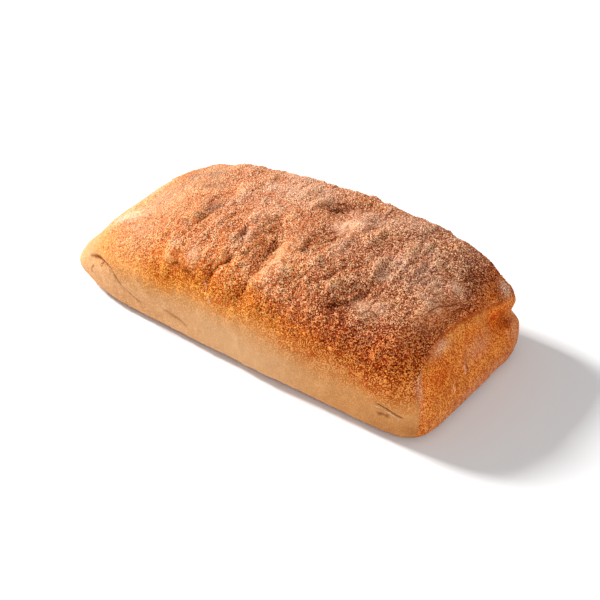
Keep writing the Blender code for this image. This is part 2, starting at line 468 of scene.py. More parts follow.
def buildForm():
    block = gridBlock(loaf["cells"])
    mesh = bpy.data.meshes.new("crust")
    block.to_mesh(mesh)
    block.free()
    points = loafForm(moveRowsUp(getVectors(mesh)[0]))
    place(mesh, points)
    normals = getVectors(mesh)[1]
    raised = lumpHeight(points) + creaseHeight(points, normals)
    for middle, radius, height in swells.values():
        raised += height * mm * spot(points, middle, radius)
    offFloor = softStep(0, loaf["waistHeight"], points[:, 2])
    place(mesh, points + normals * (raised * offFloor)[:, None])

    # the flat underside becomes one face
    work = bmesh.new()
    work.from_mesh(mesh)
    flat = [f for f in work.faces if all(v.co.z < 1e-7 for v in f.verts)]
    bmesh.ops.dissolve_faces(work, faces=flat, use_verts=True)
    work.to_mesh(mesh)
    work.free()
    return mesh


# how brown the crust is baked, by height in mm: 0 is the pale side and 1 the crown. A pair is
# where something begins and where it is full
baking = {
    "baked": (20.0, 62.0),
    "wander": 5.0,  # how far the height wanders, over this size
    "wanderSize": Vector([0.022] * 3),
    "fineWander": 3.0,
    "fineSize": Vector([0.005] * 3),
    "farPale": 0.85,  # how much of the browning the far tip lacks
    "farTip": (-97.0, -119.0),
    # the far part is lighter: partly paler crust, partly painted light from the key on that end
    "farPart": (-44.0, -84.0),  # lighter, mostly above the next pair
    "farHeight": (28.0, 52.0),
    "nearPart": (-8.0, 82.0),  # darker
    "nearEnd": (95.0, 108.0),
    "rimMiddle": 1.1, "rimWidth": 1.5,
    "softBack": (12.0, 40.0),  # softer folds down the back, towards the near end and the shoulders
    "softNear": (72.0, 98.0),
    "softShoulder": (42.0, 60.0),
    "blisterHeight": 36.0, "blisterSpread": 7.0,
}

# patches of the crust, in mm: middle (three numbers), radius (three), share
patches = {
    "flour": [
        (-100, -22, 39, 16, 8, 9, 0.85), (-90, -5, 46, 11, 13, 9, 0.4), (-27, 20, 66, 6, 5, 6, 0.85),
        (-36, 4, 63, 8, 10, 6, 0.25), (-20, 5, 67, 9, 8, 6, 0.45), (-13, -9, 68, 5, 7, 5, 0.35),
        (-10, 20, 68, 13, 10, 8, 0.7), (3, 28, 69, 9, 6, 8, 0.7), (31, 5, 70, 5, 5, 6, 0.75),
        (39, 15, 70, 7, 6, 6, 0.4), (60, 34, 66, 12, 7, 9, 0.35), (85, -8, 63, 9, 5, 6, 0.3),
        (102, 9, 58, 5, 4, 5, 0.6), (97, 4, 60, 2, 4, 5, 0.5), (97, -11, 60, 7, 3, 4, 0.5),
        (113, 43, 42, 4, 5, 6, 1.0), (75, -37, 61, 6, 4, 5, 0.45), (83, -33, 62, 4, 4, 5, 0.45),
        (-31, -46, 55, 4, 5, 6, 0.5), (-10, -34, 63, 5, 8, 6, 0.25), (40, -9, 68, 6, 7, 6, 0.4),
        (72, 0, 66, 8, 6, 6, 0.5), (85, 4, 63, 7, 8, 6, 0.4), (-15, 33, 67, 16, 12, 10, 0.45),
        (-45, -43, 55, 3, 3, 4, 0.4), (-9, -27, 66, 2.5, 7, 5, 0.5), (114, -22, 43, 3, 7, 3, 0.5),
        (124, 42, 18, 3, 3, 8, 0.4), (117, -46, 36, 2, 3, 14, 0.4), (2, 15, 69, 7, 6, 6, 0.5),
        (7, 22, 69, 7, 5, 6, 0.45), (43, 24, 69, 15, 6, 7, 0.4), (76, 21, 66, 12, 6, 7, 0.25),
        (-9, 2, 68, 6, 6, 6, 0.4), (71, -11, 65, 5, 5, 5, 0.5), (93, 2, 61, 8, 8, 6, 0.45),
    ],
    "smooth": [
        (-100, -22, 39, 18, 9, 10, 0.8), (17, -32, 67, 5.5, 18, 9, 0.6), (15, -45, 60, 5, 6, 7, 0.5),
        (33, 8, 70, 7, 6, 6, 0.7), (78, -36, 62, 8, 5, 6, 0.65), (-30, -46, 54, 4, 5, 6, 0.6),
        (-44, -51, 48, 14, 5, 7, 0.5), (106, -12, 56, 7, 18, 7, 0.5),
    ],
    "smudge": [
        (-50, -28, 60, 3, 3, 4, 0.8), (-48, -21, 61, 3.5, 4.5, 5, 1.0), (-46, -10, 61, 5, 7, 6, 0.85),
        (-55, -3, 59, 5, 5, 6, 0.4), (-64, 11, 56, 9, 4, 7, 0.8), (-85, 21, 50, 11, 7, 8, 0.6),
        (-71, 24, 54, 11, 6, 7, 0.7), (-96, 36, 40, 22, 14, 12, 0.45), (-78, 14, 52, 10, 8, 7, 0.35),
        (14, 19, 70, 5, 5, 6, 0.2), (88, -2, 63, 4, 4, 5, 0.5), (27, -20, 68, 3, 4, 5, 0.5),
        (-13, -27, 65, 2, 5, 4, 0.5), (-67, 15, 55, 13, 9, 7, 0.45),
    ],
    # browner crust, and painted shade in the valley beside the ridge, the crown's dent, the hollows, the
    # recess and the hole
    "toast": [
        (17, 20, 69, 6, 9, 7, 1.0), (23, 27, 69, 6, 5, 7, 1.0), (34, 32, 69, 9, 4, 6, 0.2),
        (61, -42, 61, 9, 6, 8, 1.0), (100, 18, 59, 7, 8, 7, 0.4), (67, -31, 64, 6, 7, 8, 0.8),
        (67, -17, 65, 4, 6, 6, 0.5), (104, 26, 56, 8, 8, 8, 0.6), (111, 34, 48, 5, 6, 6, 0.5),
        (4, -28, 65, 5, 9, 8, 1.0), (-2, -14, 66, 4, 7, 6, 0.4), (26, -8, 69, 5, 9, 6, 0.3),
        (84, -51, 45, 24, 8, 9, 0.35), (-34, -52, 46, 13, 5, 5, 0.35), (-19, -48, 52, 4, 5, 6, 0.45),
        (-24, 8, 66, 4, 5, 5, 0.6), (120, 34, 27, 4, 7, 6, 1.0), (118, -53, 9, 9, 6, 6, 0.7),
        (105, -57, 5, 14, 6, 7, 0.45), (-76, -57, 5, 16, 8, 7, 0.35), (-22, -25, 65, 5, 7, 5, 0.3),
        (-76, -30, 50, 3, 2, 3, 0.6), (-75, -57, 15, 4, 4, 3, 0.3), (-81, -56, 21, 4, 4, 4, 0.4),
        (-88, -53, 26, 5, 4, 3, 0.3),
    ],
    "glow": [
        (-4, -30, 65, 34, 26, 12, 0.6), (-48, 20, 62, 14, 12, 9, 0.5), (-10, -54, 43, 26, 6, 7, 0.5),
        (30, -54, 42, 26, 6, 7, 0.5),
    ],
    "beige": [(8, -57, 12, 42, 9, 20, 0.9)],
    "tan": [
        (114, -15, 43, 4, 9, 4, 0.9), (113, -3, 45, 4, 7, 3, 0.8), (115, 15, 41, 4, 8, 4, 0.8),
        (122, -38, 14, 4, 12, 8, 0.3),
    ],
    "deep": [(118, 30, 30, 6, 8, 9, 1.0), (119, -30, 31, 5, 10, 9, 0.7), (117, 6, 37, 5, 9, 3, 0.5)],
    "blush": [
        (124, 6, 7, 8, 44, 5, 0.7), (120, 6, 28, 5, 12, 6, 0.6), (123, 44, 18, 6, 6, 12, 0.5),
        (118, -48, 24, 3, 3, 18, 0.4),
    ],
    "pink": [
        (-96, -26, 40, 15, 7, 8, 0.8), (-84, 38, 46, 26, 14, 14, 0.7), (-104, 5, 37, 9, 22, 9, 0.5),
    ],
}

# thin cracks, tears and the dark line of a fold, which is painted shadow under its lip: path in mm, half
# width, share, depth
cracks = {
    "yStem": ([(77, -27, 63), (78, -31, 63), (78, -34, 62), (79, -37, 61), (79, -39, 61)], 0.45, 0.9, 0.5),
    "yLeft": ([(80, -36, 61), (78, -38, 61), (77, -41, 60), (74, -43, 60)], 0.4, 0.8, 0.4),
    "yRight": ([(79, -36, 61), (81, -37, 61), (84, -38, 60), (86, -40, 59)], 0.4, 0.7, 0.3),
    "nearRimShort": ([(97, -12, 60), (99, -11, 60), (102, -8, 59)], 0.3, 0.6, 0.3),
    "nearRimLong": ([(101, -18, 57), (103, -10, 57), (106, -4, 56), (108, 3, 54)], 0.35, 0.7, 0.4),
    "nearRimBack": ([(109, -6, 53), (110, 0, 53), (112, 8, 51), (113, 15, 49)], 0.3, 0.5, 0.3),
    "sideLip": (
        [(98, -58, 22), (103, -58, 22), (108, -58, 20.5), (111, -57, 19), (114, -56, 18)], 0.4, 0.8, 0.5),
    "sideSpot": ([(99, -59, 15.5), (103, -59, 17), (107, -58, 16.5)], 1.0, 0.6, 0.5),
    "sideLowFold": (grooves["sideLowFold"][0], 0.8, 0.4, 0.2),
    "farFold": (
        [(-64, -57, 11), (-69, -57, 13), (-74, -57, 16), (-79, -56, 19), (-83, -55, 23), (-86, -54, 26),
         (-91, -53, 27), (-97, -51, 27), (-106, -49, 23)],
        1.15, 0.9, 0.5),
    "farFoldBranch": ([(-93, -52, 28), (-94, -53, 25), (-95, -53, 22)], 0.4, 0.5, 0.4),
    "farMark": ([(-101, -52, 20), (-103, -52, 17), (-102, -52, 14)], 0.7, 0.5, 0.4),
    "farTear": ([(-88, -35, 44), (-84, -34, 46), (-82, -32, 47)], 0.7, 0.6, 0.5),
    "farTearHole": ([(-78, -29, 50), (-75, -30, 51), (-72, -30, 52)], 1.1, 0.7, 0.8),
    "farTearEdge": ([(-84, -22, 47), (-80, -25, 49), (-76, -27, 50)], 0.4, 0.5, 0.4),
    "farSpotA": ([(-97, -41, 38), (-96, -40, 39), (-95, -39, 40)], 1.0, 0.4, 0.3),
    "farSpotB": ([(-70, -46, 47), (-69, -45, 48), (-68, -44, 49)], 0.8, 0.5, 0.4),
    "farSpotC": ([(-87, 11, 49), (-85, 12, 49)], 0.9, 0.6, 0.3),
    "furrowTickC": ([(38, -17, 69), (39, -12, 69)], 0.6, 0.7, 0.4),
    "bumpTick": ([(27, -1, 70), (30, 0, 70), (33, 0, 70)], 0.6, 0.8, 0.4),
    "topTickA": ([(88, 4, 63), (88, 8, 63), (87, 12, 64)], 0.35, 0.7, 0.3),
    "topTickB": ([(77, -8, 65), (76, -3, 66), (76, 2, 66)], 0.35, 0.6, 0.3),
    "topTickC": ([(-9, 4, 68), (-7, 5, 68)], 0.6, 0.8, 0.4),
    "holeEdge": ([(11, 25, 69), (18, 27, 70), (25, 25, 70)], 0.8, 0.8, 0.5),
    "holeFloor": ([(15, 13, 68), (18, 20, 68), (23, 27, 68)], 1.8, 0.6, 0.5),
    "recessPit": ([(117, 33, 32), (118, 35, 29), (120, 37, 26)], 1.2, 0.35, 0.3),
    "endStreak": ([(122, -6, 25), (123, -5, 19)], 0.5, 0.5, 0.2),
    "endNick": ([(122, -17, 21), (123, -17, 16)], 0.6, 0.6, 0.3),
}
crackReach = 3.0  # in mm, how far a crack's own share is kept

# thin pale scratches: path in mm, half width, share
scratches = {
    "farDashA": ([(-82, -47, 41), (-79, -46, 44), (-77, -44, 46)], 0.4, 0.9),
    "farDashB": ([(-86, -38, 43), (-80, -37, 45), (-75, -36, 47)], 0.4, 0.7),
    "farDashC": ([(-80, -40, 46), (-77, -39, 47)], 0.5, 0.7),
    "besideFurrow": (
        [(-20, -52, 46), (-18, -53, 44), (-17, -54, 42), (-14, -56, 38), (-12, -56, 35)], 0.4, 0.8),
    "underLip": ([(96, -58, 20), (103, -58, 20), (108, -58, 18.5), (113, -57, 16)], 0.45, 0.7),
    "slit": ([(-7, -33, 65), (-8, -27, 66), (-12, -20, 67)], 0.8, 0.6),
    "endStrokeA": ([(120, -8, 26), (121, -8, 19)], 0.6, 0.6),
    "endStrokeB": ([(120, -20, 21), (121, -20, 15)], 0.6, 0.6),
    "lobeA": ([(124, 38, 26), (125, 39, 20)], 0.5, 0.5),
    "lobeB": ([(123, 32, 24), (124, 33, 17)], 0.6, 0.4),
}

# fine wrinkles along the rim of the near end, in mm
rimWrinkles = {
    "spacing": 4.4, "wander": 1.3, "height": -0.34,
    "outside": 17.0,  # how far they reach onto the crown
    "inside": 7.0,
}


def storeValues(mesh, name, values):
    layer = mesh.attributes.new(name, "FLOAT", "POINT")
    layer.data.foreach_set("value", values.astype(np.float32))


def storeLines(mesh, points, normals, name, lines):
    # the nearest line's signed distance, in its own half widths, and how much it shows
    nearestGap, shown = np.full(len(points), 100.0), np.zeros(len(points))
    depth = np.zeros(len(points))
    for path, width, share, cut in lines:
        gap, along = beside(points, normals, path, 8 * mm)
        gap = gap / mm
        strength = share * np.exp(-((gap / crackReach) ** 4)) * np.minimum(fade(along) * 1.6, 1)
        closer = np.abs(gap) / width < np.abs(nearestGap)
        nearestGap = np.where(closer, gap / width, nearestGap)
        shown = np.where(closer, strength, shown)
        depth = np.maximum(depth, cut * strength * np.exp(-((gap / max(width, 0.8)) ** 2)))
    storeValues(mesh, name + "Gap", np.clip(nearestGap, -9, 9))
    storeValues(mesh, name + "Shown", shown)
    return depth


def cutCracks(mesh):
    points, normals = getVectors(mesh)
    # the furrows' dark crease lines join the cracks: painted shade
    furrowLines = [(path, 0.5, shown, 0) for path, depth, left, right, shown in furrows.values()]
    depth = storeLines(mesh, points, normals, "crack", [*cracks.values(), *furrowLines])
    storeLines(mesh, points, normals, "scratch", [(*line, 0) for line in scratches.values()])
    # the walls of a furrow are darker: painted shade along the furrows
    furrowShade = np.zeros(len(points))
    for path, _, left, right, shown in furrows.values():
        gap, along = beside(points, normals, path, 4 * left * mm)
        wall = np.where(gap > 0, 0.7 * left, 0.35 * right) * mm
        furrowShade = np.maximum(furrowShade, 0.8 * shown * np.exp(-((gap / wall) ** 2)) * fade(along))
    place(mesh, points - normals * (depth * mm)[:, None])
    return furrowShade


def wrinkleRim(mesh):
    # distance inside the near end's rim, in mm, and the wrinkles that follow it
    points, normals = getVectors(mesh)
    gap, _ = beside(points, normals, folds["endCrease"][0], 80 * mm)
    inside = -gap / mm
    wander = uneven(points, Vector((0.009, 0.009, 0.009)), Vector((2.6, 8.1, 4.0)))
    phase = (inside + rimWrinkles["wander"] * wander) / rimWrinkles["spacing"] * 2 * math.pi
    reach = softStep(-rimWrinkles["outside"], -2, inside) * softStep(rimWrinkles["inside"], 2, inside)
    reach *= softStep(88, 102, points[:, 0] / mm) * softStep(20, 34, points[:, 2] / mm)
    height = rimWrinkles["height"] * mm * np.sin(phase) * reach * (0.7 + 0.8 * wander)
    place(mesh, points + normals * height[:, None])
    storeValues(mesh, "rimGap", np.clip(inside, -40, 40))
    storeValues(mesh, "rimWrinkle", reach)
    return inside


def storeZones(mesh, furrowShade, inside):
    points, normals = getVectors(mesh)
    x, y, z = (points / mm).T
    wander = uneven(points, baking["wanderSize"], Vector((1.7, 4.4, 9.2)))
    fine = uneven(points, baking["fineSize"], Vector((6.1, 2.4, 3.3)))
    height = z + baking["wander"] * wander + baking["fineWander"] * fine
    start, full = baking["baked"]
    bake = np.clip((height - start) / (full - start), 0, 1)
    farPart = softStep(*baking["farPart"], x + 9 * wander)
    farPart *= 0.1 + 0.9 * softStep(*baking["farHeight"], height)
    tip = softStep(*baking["farTip"], x + 7 * wander + 3 * fine)
    bake *= 1 - baking["farPale"] * tip

    facing = softStep(0.35, 0.75, normals[:, 0]) * softStep(*baking["nearEnd"], x)
    inside = inside + 0.9 * fine
    gold = facing * softStep(-0.6, 0.8, inside)
    rough = softStep(0.20, 0.60, bake) * (1 - gold)
    folded = rough * (1 - 0.5 * softStep(*baking["softBack"], y)) * (1 - 0.6 * farPart)
    shoulder = 0.35 + 0.65 * softStep(*baking["softShoulder"], z)
    folded *= (1 - 0.4 * softStep(*baking["softNear"], x)) * shoulder
    # a thin dark band just inside the near end's rim edge: painted shadow under that edge
    rim = np.exp(-(((inside - baking["rimMiddle"] + 0.7 * wander) / baking["rimWidth"]) ** 2))
    belt = np.exp(-(((height - baking["blisterHeight"]) / baking["blisterSpread"]) ** 2))
    zones = {
        "bake": bake, "rough": rough, "folded": folded, "far": farPart,
        "near": softStep(*baking["nearPart"], x + 10 * wander),
        "gold": gold,
        "rim": facing * rim * softStep(-45, -25, y),
        "sear": softStep(5.0, 1.5, z + 1.5 * wander),
        # browner patches, and the painted shade along the furrows' walls
        "toast": furrowShade,
        # paler and less saturated towards the back of the crown
        "dusted": softStep(-45, 50, y + 8 * wander) * softStep(48, 60, z),
        "blistered": belt * (1 - gold) * (0.35 + 0.65 * softStep(0, 90, x)),
    }
    for name, spots in patches.items():
        for *box, share in spots:
            shape = share * spot(points, box[:3], box[3:])
            zones[name] = np.maximum(zones.get(name, 0 * x), shape)
    zones["rough"] = zones["rough"] * (1 - zones["smooth"])
    zones["folded"] = zones["folded"] * (1 - 0.85 * zones["smooth"])
    for name, values in zones.items():
        storeValues(mesh, name, np.clip(values, 0, 1))


# fine relief of the crust, in metres
crustRelief = {
    "Ripple Size": 0.0105, "Ripple Height": 0.0048,
    "Crinkle Size": 0.0056, "Crinkle Height": 0.0046,
    "Grain Size": 0.0021, "Grain Height": 0.0006,
    "Smooth Share": 0.16,  # how much of it the pale sides keep
    "End Share": 0.30,  # and the golden end
}
raisedUnit = 0.0006  # one step of the stored relief
floorFade = 0.004  # the relief is full from this height up


def newTree(name, sizes):
    tree = bpy.data.node_groups.new(name, "GeometryNodeTree")
    tree.interface.new_socket("Geometry", in_out="INPUT", socket_type="NodeSocketGeometry")
    tree.interface.new_socket("Geometry", in_out="OUTPUT", socket_type="NodeSocketGeometry")
    for label, value in sizes.items():
        kind = "NodeSocketInt" if isinstance(value, int) else "NodeSocketFloat"
        tree.interface.new_socket(label, in_out="INPUT", socket_type=kind)
    tree.interface.new_socket("Material", in_out="INPUT", socket_type="NodeSocketMaterial")
    return tree, tree.nodes.new("NodeGroupInput").outputs, tree.nodes.new("NodeGroupOutput")


def named(tree, name):
    return addNode("GeometryNodeInputNamedAttribute", {"Name": name}, tree).outputs["Attribute"]


def runTree(source, name, tree, sizes, material):
    # source mesh through the tree, made plain
    carrier = bpy.data.objects.new(name + "Carrier", source)
    bpy.context.scene.collection.objects.link(carrier)
    modifier = carrier.modifiers.new("tree", "NODES")
    modifier.node_group = tree
    values = {**sizes, "Material": material}
    for item in tree.interface.items_tree:
        if item.name in values:
            modifier[item.identifier] = values[item.name]
    found = carrier.evaluated_get(bpy.context.evaluated_depsgraph_get())
    mesh = bpy.data.meshes.new_from_object(found)
    mesh.name = name
    piece = bpy.data.objects.new(name, mesh)
    bpy.context.scene.collection.objects.link(piece)
    bpy.data.objects.remove(carrier)
    return piece


def finishTree(tree, given, out, geometry):
    values = {"Geometry": geometry, "Material": given["Material"]}
    coloured = addNode("GeometryNodeSetMaterial", values)
    smooth = addNode("GeometryNodeSetShadeSmooth", {"Geometry": coloured.outputs[0]})
    tree.links.new(smooth.outputs[0], out.inputs[0])


def storeNamed(geometry, name, value, domain):
    kind = "GeometryNodeStoreNamedAttribute"
    values = {"Geometry": geometry, "Name": name, "Value": value}
    return addNode(kind, values, data_type="FLOAT", domain=domain).outputs[0]


def shift(geometry, direction, length):
    values = {0: direction, "Scale": length}
    offset = addNode("ShaderNodeVectorMath", values, operation="SCALE").outputs[0]
    return addNode("GeometryNodeSetPosition", {"Geometry": geometry, "Offset": offset}).outputs[0]


def reliefTree():
    tree, given, out = newTree("crustRelief", crustRelief)
    where = tree.nodes.new("GeometryNodeInputPosition").outputs[0]
    normal = tree.nodes.new("GeometryNodeInputNormal").outputs[0]
    least = times(named(tree, "gold"), given["End Share"])
    least = calc("MAXIMUM", least, given["Smooth Share"])
    folded = calc("MAXIMUM", named(tree, "folded"), least)
    rough = calc("MAXIMUM", named(tree, "rough"), least)
    total, level = 0.0, 0.0
    for kind, stretch, detail, mask in (
        ("Ripple", (1.0, 0.42, 0.5), 0.6, folded),
        ("Crinkle", (1.0, 0.5, 0.6), 0.5, folded),
        ("Grain", (1.0, 0.9, 1.0), 1.0, rough),
    ):
        fine = calc("DIVIDE", 1.0, given[kind + " Size"])
        values = {"Vector": stretched(where, stretch), "Scale": fine, "Detail": detail}
        bump = calc("SUBTRACT", addNode("ShaderNodeTexNoise", values).outputs[0], 0.5)
        if mask is folded:
            # sharp valleys between soft swellings
            creased = timesPlus(calc("ABSOLUTE", bump), 2.0, -0.2)
            bump = timesPlus(creased, 0.6, times(bump, 0.6))
        bump = times(bump, given[kind + " Height"])
        level = calc("ADD", level, bump)
        total = calc("ADD", total, times(bump, mask))
    level = times(level, 1 / raisedUnit)
    stored = storeNamed(given["Geometry"], "raised", level, "POINT")
    split = addNode("ShaderNodeSeparateXYZ", {0: where})
    offFloor = times(split.outputs[2], 1 / floorFade, clamp=True)
    finishTree(tree, given, out, shift(stored, normal, times(total, offFloor)))
    return tree


# colours as on screen, in the far and the near half. The first four are from the pale side up to
# the crown, and ground lies between the speckles
colours = {
    "farGround": [
        (198, 141, 89), (190, 129, 72), (200, 120, 44), (212, 109, 16), (208, 89, 8), (231, 115, 42),
        (231, 134, 76),
    ],
    "farSpeckles": [
        (230, 179, 130), (226, 162, 101), (237, 161, 84), (255, 178, 78), (255, 177, 82),
        (255, 201, 132), (255, 210, 162),
    ],
    "nearGround": [
        (188, 126, 71), (183, 104, 37), (167, 70, 4), (172, 64, 2), (170, 56, 3), (155, 56, 9),
        (182, 91, 47),
    ],
    "nearSpeckles": [
        (212, 154, 96), (216, 150, 90), (221, 144, 76), (246, 165, 76), (251, 159, 76),
        (251, 165, 102), (255, 206, 158),
    ],
    "bakedAt": (0.17, 0.30, 0.44, 0.62, 0.80),  # where the inner five of the seven lie
    # the tone (255, 198, 152) on the next line lightens the far part: paler crust, and partly painted light
    # from the key
    "farPaleAndLit": (255, 198, 152), "gold": (188, 77, 2), "goldSpeckle": (252, 164, 78),
    # the tone (160, 66, 26) on the next line is painted shadow just under the near end's rim edge
    "goldBrown": (174, 84, 28), "rim": (160, 66, 26), "flour": (246, 210, 182),
    # the first two tones on the next line make the back of the crown paler and less saturated
    "paleBackGround": (190, 122, 82), "paleBackSpeckle": (252, 208, 178), "smudge": (130, 96, 82),
    "glow": (226, 122, 36), "sear": (146, 84, 56), "beige": (208, 161, 115),
    "pink": (234, 182, 152), "tan": (228, 160, 88), "blush": (216, 150, 116),
    "underside": (196, 136, 84),
    # the first of these darkens cracks and also paints shade along the furrows' creases
    "crack": (0.34, 0.14, 0.05, 1),  # these seven multiply what is below them
    "golden": (1.08, 0.98, 0.74, 1),
    "rosy": (0.98, 0.82, 0.84, 1),
    # the next one darkens browner crust and also paints shade in valleys, dents and furrows
    "toast": (0.58, 0.42, 0.26, 1),
    "pit": (0.46, 0.30, 0.16, 1),
    "gap": (0.42, 0.25, 0.12, 1),
    "deep": (0.90, 0.58, 0.26, 1),
    "specular": 0.06,
}

# patterns of the crust in metres, and how much each counts
patterns = {
    "noise": {  # size, detail, roughness
        "mottle": (0.009, 3.0, 0.6), "mid": (0.0034, 2.0, 0.5), "grain": (0.0012, 2.0, 0.6),
        "dust": (0.0007, 0.0), "strand": (0.0021, 1.0), "hue": (0.015, 2.0, 0.6),
    },
    "cellSize": 0.0015, "streakSize": 0.0019, "streakStretch": (1.0, 1.0, 0.45),
    "rimLines": 1.5,  # spacing of the thin lines along the rim, in mm
    "bump": 0.0014,
    "bottom": (0.0003, 0.0015),  # the underside's tone reaches up to here
    # what lifts a place into the speckles or sinks it into the gaps. Raised crests get more pale speckles
    # and browned or shaded hollows fewer, which paints light and shade
    "level": {
        "grain": 0.25, "raised": 0.05, "mid": 0.25, "dust": 1.7, "fleck": 0.15, "strand": 0.14,
        "wrinkled": -0.12, "toast": -0.16, "far": 0.04,
    },
    "speckles": (1.13, 1.27),
    "gaps": (0.89, 1.02),
    "goldLevel": {"streaks": 0.5, "grain": 0.3, "dust": 1.0, "strand": 0.16},
    "goldSpeckles": (0.84, 1.06),
    "height": {
        "grain": 0.6, "dust": 1.0, "mid": 0.4, "strand": 0.15, "wrinkled": -0.15, "fleck": 0.30,
        "pit": -0.30,
    },
}


def layered(colour, *layers):
    # shares of named tones on top: a tone of three numbers covers, one of four multiplies
    for share, name in layers:
        tone, blend = colours[name], "MULTIPLY"
        if len(tone) == 3:
            tone, blend = fromScreen(*tone), "MIX"
        colour = mixColour(share, colour, tone, blend)
    return colour


def bakedTones(zone):
    # the ground and the speckles at each place
    tones = []
    for part in ("Ground", "Speckles"):
        far, near = (
            colourRamp(zone["bake"], colours["bakedAt"], colours[half + part])
            for half in ("far", "near")
        )
        tones.append(mixColour(zone["near"], far, near))
    ground, speckles = tones
    ground = layered(
        ground,
        (times(zone["glow"], 0.7), "glow"),
        (times(zone["dusted"], 0.38), "paleBackGround"),
        (zone["toast"], "toast"),
    )
    dusted, weaker = times(zone["dusted"], 0.5), times(zone["toast"], 0.75)
    return ground, layered(speckles, (dusted, "paleBackSpeckle"), (weaker, "toast"))


def crustMaterial():
    material, tree, surface = newMaterial("crust", 0.7, colours["specular"])
    where = tree.nodes.new("ShaderNodeTexCoord").outputs["Object"]
    zone = readZones(
        tree,
        "bake rough far near gold rim rimGap rimWrinkle sear toast flour smudge glow smooth dusted "
        "beige pink tan deep blush crackGap crackShown scratchGap scratchShown raised folded",
    )
    pattern = {}
    for name, values in patterns["noise"].items():
        pattern[name] = noiseAt(where, *values)
    mid, grain = pattern["mid"], pattern["grain"]
    mottle = sharpen(pattern["mottle"], 0.3, 0.7)
    values = {"Vector": where, "Scale": 1 / patterns["cellSize"], "Randomness": 1.0}
    cells = addNode("ShaderNodeTexVoronoi", values)
    blob = sharpen(cells.outputs["Distance"], 0.20, 0.48, 1.0, 0.0)
    pick = addNode("ShaderNodeSeparateColor", {0: cells.outputs["Color"]}).outputs[0]
    fleck = times(blob, sharpen(pick, 0.55, 0.70))
    pit = times(blob, sharpen(pick, 0.20, 0.32, 1.0, 0.0))
    pit = times(pit, zone["rough"])
    # curved strands, pale and dark, and streaks down the golden end
    strand = lineAt(pattern["strand"], 0.5, 0.0, 0.05)
    wrinkled = lineAt(mid, 0.47, 0.0, 0.03)
    downwards = stretched(where, patterns["streakStretch"])
    streaks = noiseAt(downwards, patterns["streakSize"], 2.0, 0.6)
    pattern.update(zone, fleck=fleck, pit=pit, strand=strand, wrinkled=wrinkled, streaks=streaks)

    level = weighed(patterns["level"], pattern)
    speckle = sharpen(level, *patterns["speckles"])
    gap = times(sharpen(level, *patterns["gaps"], 1.0, 0.0), zone["rough"])
    ground, peach = bakedTones(zone)
    # darker where the relief sinks: painted shade in the valleys
    valleyShade = times(sharpen(zone["raised"], -1.8, -0.2, 0.4, 0.0), zone["folded"])
    colour = layered(
        mixColour(speckle, layered(ground, (gap, "gap")), peach),
        (valleyShade, "toast"),
        (times(sharpen(pattern["hue"], 0.50, 0.64, 0.0, 0.7), zone["rough"]), "golden"),
        (times(sharpen(pattern["hue"], 0.36, 0.50, 0.7, 0.0), zone["rough"]), "rosy"),
    )
    plain = mixColour(sharpen(mid, 0.3, 0.7, 0.3, 0.7), ground, peach)
    even = calc("MAXIMUM", zone["smooth"], sharpen(zone["bake"], 0.02, 0.18, 0.4, 0.0))
    bright = times(times(fleck, 0.55), zone["rough"])
    colour = layered(
        mixColour(bright, mixColour(even, colour, plain), layered(peach, (0.35, "flour"))),
        (times(zone["beige"], sharpen(mid, 0.25, 0.75, 0.7, 1.0)), "beige"),
        # the far part lighter: paler crust, and partly painted light from the key
        (times(zone["far"], timesPlus(speckle, 0.3, 0.6)), "farPaleAndLit"),
        (times(pit, 0.8), "pit"),
    )

    # thin lines that follow the rim of the near end
    wavy = timesPlus(mid, 2.4, timesPlus(grain, 0.8, zone["rimGap"]))
    wave = calc("SINE", times(wavy, 2 * math.pi / patterns["rimLines"]))
    wave = times(wave, sharpen(mottle, 0.1, 0.6, 0.3, 1.0))

    # the golden end
    goldLevel = weighed(patterns["goldLevel"], pattern)
    goldSpeckle = sharpen(goldLevel, *patterns["goldSpeckles"])
    grainy = sharpen(goldSpeckle, 0.0, 1.0, 0.45, 0.9)
    lined = times(zone["tan"], sharpen(wave, -0.6, 0.6, 0.2, 1.0))
    gold = layered(
        fromScreen(*colours["gold"]),
        (goldSpeckle, "goldSpeckle"),
        (sharpen(mottle, 0.5, 1.0, 0.0, 0.5), "goldBrown"),
        (times(lined, grainy), "tan"),
        (times(zone["blush"], grainy), "blush"),
        (zone["deep"], "deep"),
        (times(zone["toast"], 0.8), "toast"),
    )

    # flour, smudges, the seared bottom edge, scratches, and cracks with the lines of painted shade along the
    # creases
    dusty = timesPlus(mottle, 0.5, times(speckle, 0.5))
    dirty = calc("SUBTRACT", 1.2, times(speckle, 0.8))
    colour = layered(
        mixColour(zone["gold"], colour, gold),
        (times(zone["pink"], grainy), "pink"),
        # the painted shadow just under the near end's rim edge
        (times(zone["rim"], sharpen(mid, 0.35, 0.60, 0.35, 0.9)), "rim"),
        (times(sharpen(wave, 0.35, 0.9, 0.0, 0.5), zone["rimWrinkle"]), "pit"),
        (times(zone["flour"], calc("ADD", dusty, 0.1), clamp=True), "flour"),
        (times(zone["smudge"], times(dirty, 0.8), clamp=True), "smudge"),
        (times(zone["sear"], 0.85), "sear"),
    )
    height = addNode("ShaderNodeSeparateXYZ", {0: where}).outputs[2]
    bottom = layered(fromScreen(*colours["underside"]), (mottle, "sear"))
    colour = mixColour(sharpen(height, *patterns["bottom"], 1.0, 0.0), colour, bottom)
    pale = times(lineAt(zone["scratchGap"], 0.0, 0.4, 1.6, 0.8), zone["scratchShown"])
    pale = times(pale, sharpen(grain, 0.35, 0.55, 0.4, 1.0))
    # cracks, with the painted shade along the creases of the furrows and the far fold
    line = times(lineAt(zone["crackGap"], 0.0, 0.4, 1.6), zone["crackShown"])
    colour = layered(colour, (pale, "flour"), (line, "crack"))
    tree.links.new(colour, surface.inputs["Base Color"])

